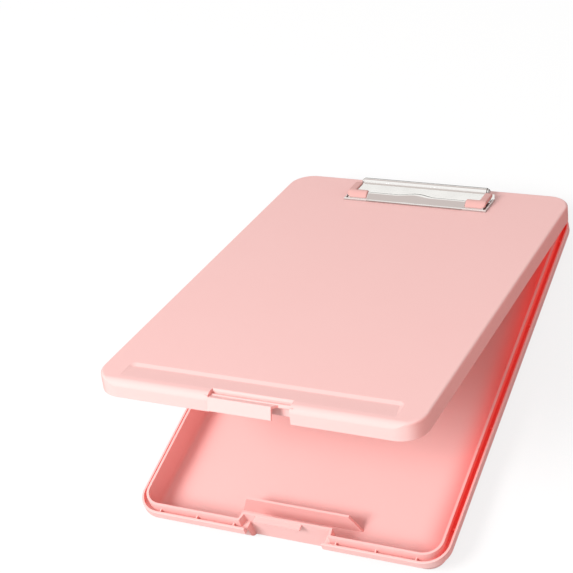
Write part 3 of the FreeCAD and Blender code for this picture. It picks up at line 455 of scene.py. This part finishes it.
def paint_rim_shade_and_glow(material, masks, inner_shade, groove_shade, painted_glow):
    """Lay the painted inner and groove shade over a material's base colour, and add a painted red
    glow as emission.
    """
    tree = material.node_tree
    body = tree.nodes["Principled BSDF"]
    places = tree.nodes.new("ShaderNodeTexCoord")
    made = tree.nodes.new("ShaderNodeGroup")
    made.node_tree = masks
    link = tree.links.new
    link(places.outputs["Object"], made.inputs["Vector"])
    colour = body.inputs["Base Color"].links[0].from_socket
    for mask, layer in (("Inner", inner_shade), ("Groove", groove_shade)):
        over = tree.nodes.new("ShaderNodeMix")
        over.data_type = "RGBA"
        over.inputs["B"].default_value = (*layer, 1)
        link(made.outputs[mask], over.inputs["Factor"])
        link(colour, over.inputs["A"])
        colour = over.outputs["Result"]
    link(colour, body.inputs["Base Color"])
    light = tree.nodes.new("ShaderNodeMix")
    light.data_type = "RGBA"
    light.inputs["A"].default_value = (0, 0, 0, 1)
    light.inputs["B"].default_value = (*painted_glow, 1)
    link(made.outputs["Glow"], light.inputs["Factor"])
    link(light.outputs["Result"], body.inputs["Emission Color"])
    body.inputs["Emission Strength"].default_value = 1.0


# Painted shade tones for the wall's inside and the groove, and a painted red glow
PAINTED_INNER_SHADE, PAINTED_GROOVE_SHADE = (0.95, 0.28, 0.265), (0.95, 0.14, 0.12)
PAINTED_GLOW_TONE = (0.24, 0.014, 0.010)
paint_rim_shade_and_glow(tray_pink, rim_shade_group(), PAINTED_INNER_SHADE, PAINTED_GROOVE_SHADE, PAINTED_GLOW_TONE)
print("rim tones on:", tray_pink.name)

# %% [markdown]
# ## Metals
# Chrome plate is a mirror with a trace of haze. Drawn steel rod and wire are duller, with fine
# lines along their length, and both keep faint smears that a noise in the roughness gives. Where
# two sheets meet, the gap lies in shade. Ambient occlusion finds such places, so one value paints
# a brown shade there and takes the mirror away.

# %% Metal finishes
def metal(name, colour, crevice_shade, low, high, scale, stretch):
    """Metal whose roughness wanders between low and high, stretched along X where the piece was
    drawn. Places that other faces close in, within 3 mm, take a painted brown shade and lose their
    mirror."""
    material = bpy.data.materials.new(name)
    material.use_nodes = True
    tree = material.node_tree
    body = tree.nodes["Principled BSDF"]
    closed_in = tree.nodes.new("ShaderNodeAmbientOcclusion")
    closed_in.samples = 16
    closed_in.inputs["Distance"].default_value = 0.003
    out_of_shade = tree.nodes.new("ShaderNodeMapRange")
    out_of_shade.inputs["From Min"].default_value = 0.45
    out_of_shade.inputs["From Max"].default_value = 0.88
    shade = tree.nodes.new("ShaderNodeMix")
    shade.data_type = "RGBA"
    shade.inputs["A"].default_value = (*crevice_shade, 1)
    shade.inputs["B"].default_value = (*colour, 1)
    tree.links.new(closed_in.outputs["AO"], out_of_shade.inputs["Value"])
    tree.links.new(out_of_shade.outputs[0], shade.inputs["Factor"])
    tree.links.new(out_of_shade.outputs[0], body.inputs["Metallic"])
    tree.links.new(shade.outputs["Result"], body.inputs["Base Color"])
    places = tree.nodes.new("ShaderNodeTexCoord")
    turn = tree.nodes.new("ShaderNodeMapping")
    turn.inputs["Scale"].default_value = (stretch, 1, 1)
    noise = tree.nodes.new("ShaderNodeTexNoise")
    noise.inputs["Scale"].default_value = scale
    noise.inputs["Detail"].default_value = 4
    spread = tree.nodes.new("ShaderNodeMapRange")
    spread.inputs["To Min"].default_value = low
    spread.inputs["To Max"].default_value = high
    bump = tree.nodes.new("ShaderNodeBump")
    bump.inputs["Distance"].default_value = 0.00001
    bump.inputs["Strength"].default_value = 0.15
    link = tree.links.new
    link(places.outputs["Object"], turn.inputs["Vector"])
    link(turn.outputs["Vector"], noise.inputs["Vector"])
    link(noise.outputs["Fac"], spread.inputs["Value"])
    link(spread.outputs[0], body.inputs["Roughness"])
    link(noise.outputs["Fac"], bump.inputs["Height"])
    link(bump.outputs["Normal"], body.inputs["Normal"])
    return material


# The second colour of each metal is a painted shade for closed-in places
chrome = metal("chrome_plate", (0.93, 0.925, 0.91), (0.22, 0.13, 0.11), 0.05, 0.12, 60, 1)
steel = metal("drawn_steel", (0.62, 0.62, 0.63), (0.32, 0.24, 0.21), 0.20, 0.34, 700, 0.05)
print("metals:", chrome.name, steel.name)

# %% [markdown]
# ## The lid's own frame
# The clip is easiest to draw in a frame that lies flat with the closed lid: millimetres, with
# the origin on the hinge axis. The lid stands 19 degrees open, so one turn and one shift take
# every point from there to its place in the scene.

# %% From the lid's frame to the scene
LID_TURN = np.radians(19.0)
LID_TOP = 13.25
HINGE_Y, HINGE_Z = 169.4, 21


def on_lid(x, y, z):
    """Scene points in metres of points in the lid's frame in millimetres: the hinge's place plus
    (y cos a + z sin a, z cos a - y sin a), where a is the lid's turn."""
    x, y, z = np.broadcast_arrays(x, y, z)
    return np.stack([x, HINGE_Y + y * np.cos(LID_TURN) + z * np.sin(LID_TURN),
                     HINGE_Z - y * np.sin(LID_TURN) + z * np.cos(LID_TURN)], -1) / 1000


def finish_piece(item, body, finish, merge=0.00001):
    """Weld the doubles, turn the faces outwards, shade smooth but for a sheet's open rim, and give
    the piece its finish and body."""
    work = bmesh.new()
    work.from_mesh(item.data)
    bmesh.ops.remove_doubles(work, verts=work.verts, dist=merge)
    bmesh.ops.dissolve_degenerate(work, edges=work.edges, dist=merge / 10)
    bmesh.ops.recalc_face_normals(work, faces=work.faces)
    rims = [edge.index for edge in work.edges if edge.is_boundary]
    work.to_mesh(item.data)
    work.free()
    item.data.shade_smooth()
    for index in rims:
        item.data.edges[index].use_edge_sharp = True
    item.data.materials.append(finish)
    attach(item, body)
    print(item.name, "faces:", len(item.data.polygons))


print("the clip's middle:", on_lid(0, -30, LID_TOP).round(4).tolist())

# %% [markdown]
# ## The clip's jaw
# The real jaw is one strip of steel, pressed over a die: a steep lip in front that bites the
# paper, a soft crease, a flat plate, and a curl round the rod. A wide bell-shaped dent in the
# middle of the lip stiffens it. A bent sheet is a profile carried along X, so the surface below
# has two parameters, the place along X and the place on the profile, and only the crease and the
# lip move with X. Solidify then gives the sheet its 0.8 mm. Cutting the jaw from a block would
# work for the flat parts, but it leaves the dent's bell with hard seams.

# %% Jaw surface
JAW_HALF, ROLL_HALF, ROLL_RADIUS = 57.8, 53.0, 3.1
ROLL_Y, ROLL_Z = -12.5, LID_TOP + 4.2
PLATE_Z, LIP_Z = LID_TOP + 4.7, LID_TOP + 1.05
CREASE_Y, LIP_Y = -33.7, -38.5
BITE_Y, BITE_Z = -40.8, LID_TOP + 1.15
DENT_HALF, DENT_RISE = 17.5, 4.5
LAP_HALF, LAP_RUN = 42.5, 1.5
BEND, FLAT_END, FOOT_START = 2.2, -26.0, -16.6
SHOULDER_Y, SHOULDER_RUN, SHOULDER_ROW = -21.4, 1.8, 19
EDGE_COLUMN = 0.998


def curve(start, pull, end, count):
    """Quadratic curve: start times (1 - t) squared, pull times 2t(1 - t), end times t squared."""
    t = np.linspace(0, 1, count)[:, None, None]
    return start * (1 - t) ** 2 + pull * 2 * t * (1 - t) + end * t ** 2


def jaw_profile(x):
    """Profile points (places, x, 2) in Y and Z: lip, crease, plate, foot of the curl, and curl.
    The crease lies back by 4.5 cos squared of pi x / 35 where |x| is under 17.5 mm. Between the
    grips the lip laps over the base plate's bead, and it draws back in a smooth step under them."""
    bell = DENT_RISE * np.cos(np.pi * x / (2 * DENT_HALF)) ** 2
    dent = np.where(np.abs(x) < DENT_HALF, bell, 0)
    crease = np.stack([CREASE_Y + dent, np.full_like(x, PLATE_Z)], -1)
    step = np.clip((LAP_HALF - np.abs(x)) / LAP_RUN, 0, 1)
    step = step * step * (3 - 2 * step)
    lip = np.stack([LIP_Y + (BITE_Y - LIP_Y) * step, LIP_Z + (BITE_Z - LIP_Z) * step], -1)
    rise = (crease - lip) / np.linalg.norm(crease - lip, axis=-1, keepdims=True)
    below, behind = crease - BEND * rise, crease + np.array([BEND, 0])
    t = np.array([0, 0.03, 0.2, 0.4, 0.6, 0.8])[:, None, None]
    lip_part = lip * (1 - t) + below * t
    t = np.linspace(0, 1, 8)[1:-1, None, None]
    flat_end = np.stack([np.full_like(x, FLAT_END), np.full_like(x, PLATE_Z)], -1)
    flat = behind * (1 - t) + flat_end * t
    steps = np.array([FLAT_END, -24, -22.6, SHOULDER_Y, -21, -20.6, -20.2, -19.9, -19.6,
                      -18.4, -17.4])
    plain = np.stack([steps, np.full_like(steps, PLATE_Z)], -1)[:, None]
    plain = np.broadcast_to(plain, (len(steps), len(x), 2))
    turn = np.radians(np.linspace(150, -50, 30))
    arc = np.stack([ROLL_Y + ROLL_RADIUS * np.cos(turn), ROLL_Z + ROLL_RADIUS * np.sin(turn)], -1)
    arc = np.broadcast_to(arc[:, None], (len(turn), len(x), 2))
    foot = curve(np.array([FOOT_START, PLATE_Z]), np.array([-15.5, PLATE_Z]), arc[0, 0], 7)[:-1]
    foot = np.broadcast_to(foot, (6, len(x), 2))
    return np.concatenate([lip_part, curve(below, crease, behind, 9), flat, plain, foot, arc])


def jaw_half(y, behind):
    """Half width: 57.8 mm in front of the shoulder, then a quarter ellipse down to the curl's
    53 mm on the rows that lie behind."""
    step = np.clip((y - SHOULDER_Y) / SHOULDER_RUN, 0, 1)
    return np.where(behind, ROLL_HALF + (JAW_HALF - ROLL_HALF) * np.sqrt(1 - step ** 2), JAW_HALF)


across = np.sort(np.append(np.linspace(-1, 1, 241), [-EDGE_COLUMN, EDGE_COLUMN]))
section = jaw_profile(across * JAW_HALF)
behind_shoulder = np.arange(len(section))[:, None] > SHOULDER_ROW
width = jaw_half(section[..., 0], behind_shoulder)
jaw = grid_mesh("jaw_shell", on_lid(across * width, section[..., 0], section[..., 1]))
finish_piece(jaw, "clip_jaw", chrome)
print("jaw faces up:", sum(face.normal.z for face in jaw.data.polygons) > 0)

# %% The sheet's thickness
SHEET = 0.0008
thickness = jaw.modifiers.new("sheet", "SOLIDIFY")
thickness.thickness = SHEET
thickness.offset = -1
thickness.use_even_offset = True
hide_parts("clip_jaw")
print("sheet:", round(thickness.thickness * 1000, 2), "mm")

# %% [markdown]
# ## Discs in the curl
# A small dished disc closes each end of the curl and turns on the rod. It is a lathe's work, so
# a profile of places along the axis and radii is carried once round.

# %% Discs in the ends of the curl
def turned(name, start, profile, y, z, count=48):
    """Surface of revolution about an axis along X: a closed profile of (along, radius) pairs."""
    along, radius = np.array(profile).T
    angle = np.linspace(0, 2 * np.pi, count, endpoint=False)[:, None]
    height, depth = z + radius * np.sin(angle), y + radius * np.cos(angle)
    points = on_lid(start + along + 0 * angle, depth, height)
    return grid_mesh(name, points, close_u=True, close_v=True)


DISC = [(-0.7, 1.1), (-0.7, 2.3), (-0.1, 2.3), (0.35, 2.3), (0.35, 2.1), (0.3, 1.1)]
DISC_INSET = 0.4
for side, sign in (("left", -1), ("right", 1)):
    profile = [(sign * along, radius) for along, radius in DISC]
    disc = turned(f"curl_end_{side}", sign * (ROLL_HALF - DISC_INSET), profile, ROLL_Y, ROLL_Z)
    finish_piece(disc, "clip_jaw", chrome)

# %% [markdown]
# ## Corner grips
# Two soft mouldings lap over the jaw's front corners, where the thumb presses. Each is an L with
# puffed, rounded edges. One way would be to bevel a flat L, but its inner corner pinches. Here a
# rounded cross-section is carried along the L between an outer and an inner line, each with its
# own corner radius, and it shrinks to nothing in a quarter ellipse at both ends.

# %% Corner grip surface
def l_line(front, side, start, end, radius, straight, bend):
    """Points along an L: straight along X at one Y, a quarter circle, then straight along Y."""
    along = np.interp(straight, [0, 1], [start, side - radius])
    lead = np.stack([along, np.full_like(straight, front)], -1)
    turn = np.radians(-90 + 90 * bend)
    corner = np.stack([side - radius + radius * np.cos(turn),
                       front + radius + radius * np.sin(turn)], -1)
    back_along = np.interp(straight, [0, 1], [front + radius, end])
    tail = np.stack([np.full_like(straight, side), back_along], -1)
    return np.concatenate([lead, corner[1:-1], tail])


GRIP_START, GRIP_END, GRIP_POWER = 42.2, -17.0, 0.6
GRIP_HEIGHT, GRIP_SINK, GRIP_SKIRT, GRIP_ROUND = 1.35, 0.1, 2.7, 1.3
SKIRT_X, SKIRT_RUN = 57.9, 0.3


def grip_mesh(name, sign):
    """Closed L: the place across is cos u and the height sin u, both raised to the power of 0.6
    with their sign kept. The skirt hangs over the jaw's end, past x = 57.9, down to the base."""
    ease = (1 - np.cos(np.linspace(0, np.pi, 22))) / 2
    bend = np.linspace(0, 1, 14)
    outer = l_line(-37.9, 59.1, GRIP_START, GRIP_END, 3.4, ease, bend)
    inner = l_line(-30.8, 53.0, GRIP_START, GRIP_END, 1.2, ease, bend)
    middle = (outer + inner) / 2
    run = np.concatenate([[0], np.cumsum(np.linalg.norm(np.diff(middle, axis=0), axis=1))])
    near_end = np.clip(np.minimum(run, run[-1] - run) / GRIP_ROUND, 0, 1)
    shrink = np.sqrt(1 - (1 - near_end) ** 2)[:, None]
    angle = np.linspace(0, 2 * np.pi, 40, endpoint=False)
    side = np.sign(np.cos(angle)) * np.abs(np.cos(angle)) ** GRIP_POWER
    rise = np.sign(np.sin(angle)) * np.abs(np.sin(angle)) ** GRIP_POWER
    spot = middle[:, None] + (outer - middle)[:, None] * (side * (0.75 + 0.25 * shrink))[..., None]
    x, y = spot[..., 0], spot[..., 1]
    # The jaw's sheet under the grip: level, then falling by 0.76 past a crease rounded by 0.15 mm
    sheet = PLATE_Z - 0.76 * np.clip(CREASE_Y - y, 0, None)
    sheet = sheet - 0.15 * np.exp(-((y - CREASE_Y) / 1.2) ** 2)
    hang = np.minimum(GRIP_SKIRT, sheet - LID_TOP - 1.05)
    skirt = GRIP_SINK + hang * np.clip((x - SKIRT_X) / SKIRT_RUN, 0, 1)
    z = sheet + np.where(rise > 0, GRIP_HEIGHT * rise, skirt * rise) * shrink
    return grid_mesh(name, on_lid(sign * x, y, z), close_v=True)


for side, sign in (("left", -1), ("right", 1)):
    grip = grip_mesh(f"grip_{side}", sign)
    finish_piece(grip, "clip_jaw", grip_pink)
    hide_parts(f"corner_grip_{side}")

# %% [markdown]
# ## Springs on the rod
# Each spring is a close coil of round wire with one leg that presses on the base plate. A coil is
# a tube along a helix, so a small ring is carried along the path, set square to it by the path's
# own direction.

# %% Spring wire
def wire_tube(name, path, radius, around=8):
    """Tube round a path: at each point a ring in the plane square to the path's direction."""
    ahead = np.gradient(path, axis=0)
    ahead /= np.linalg.norm(ahead, axis=1, keepdims=True)
    aside = np.cross(ahead, [1.0, 0.0, 0.0])
    aside /= np.linalg.norm(aside, axis=1, keepdims=True)
    over = np.cross(ahead, aside)
    angle = np.linspace(0, 2 * np.pi, around, endpoint=False)[None, :, None]
    ring = path[:, None] + radius * (aside[:, None] * np.cos(angle) + over[:, None] * np.sin(angle))
    shrunk = np.concatenate([path[:1, None] + 0 * ring[:1], ring, path[-1:, None] + 0 * ring[-1:]])
    return grid_mesh(name, on_lid(*np.moveaxis(shrunk, -1, 0)), close_v=True)


WIRE_RADIUS, COIL_RADIUS, COILS, COIL_RUN, TURN_STEPS = 0.4, 1.7, 35, 29.2, 18
SPRING_START = ROLL_HALF - 5.3 - 30 + WIRE_RADIUS
LEG_REACH, LEG_Z = 11.0, LID_TOP + 1.25
for side, sign in (("left", -1), ("right", 1)):
    turn = np.linspace(0, 2 * np.pi * COILS, COILS * TURN_STEPS)
    along = SPRING_START + COIL_RUN * turn / turn[-1]
    helix = np.stack([along, ROLL_Y - COIL_RADIUS * np.sin(turn),
                      ROLL_Z - COIL_RADIUS * np.cos(turn)], -1)
    leg_end = np.array([SPRING_START, ROLL_Y - LEG_REACH, LEG_Z])
    leg = leg_end + (helix[0] - leg_end) * np.linspace(0, 1, 12)[:-1, None]
    coil = np.concatenate([leg, helix]) * [sign, 1, 1]
    spring = wire_tube(f"spring_{side}", coil, WIRE_RADIUS)
    finish_piece(spring, "lid", steel)
    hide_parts(f"clip_spring_{side}")

# %% [markdown]
# ## Finishes
# The solids that stay, and those that the pieces above replace, take the same materials, so
# nothing changes colour where one stands in for the other.

# %% Finishes of the CAD solids
FINISHES = {
    "tray": tray_pink, "lid": pink, "latch": pink, "hinge_rod": steel, "clip_base": chrome,
    "clip_jaw": chrome, "clip_rod": steel, "rivet_left": chrome, "rivet_right": chrome,
    "rivet_washer_left": steel, "rivet_washer_right": steel, "clip_spring_left": steel,
    "clip_spring_right": steel, "corner_grip_left": grip_pink, "corner_grip_right": grip_pink,
}
for name, finish in FINISHES.items():
    mesh = nodes[name].data
    mesh.materials.clear()
    mesh.materials.append(finish)
print("finished:", len(FINISHES), "solids")
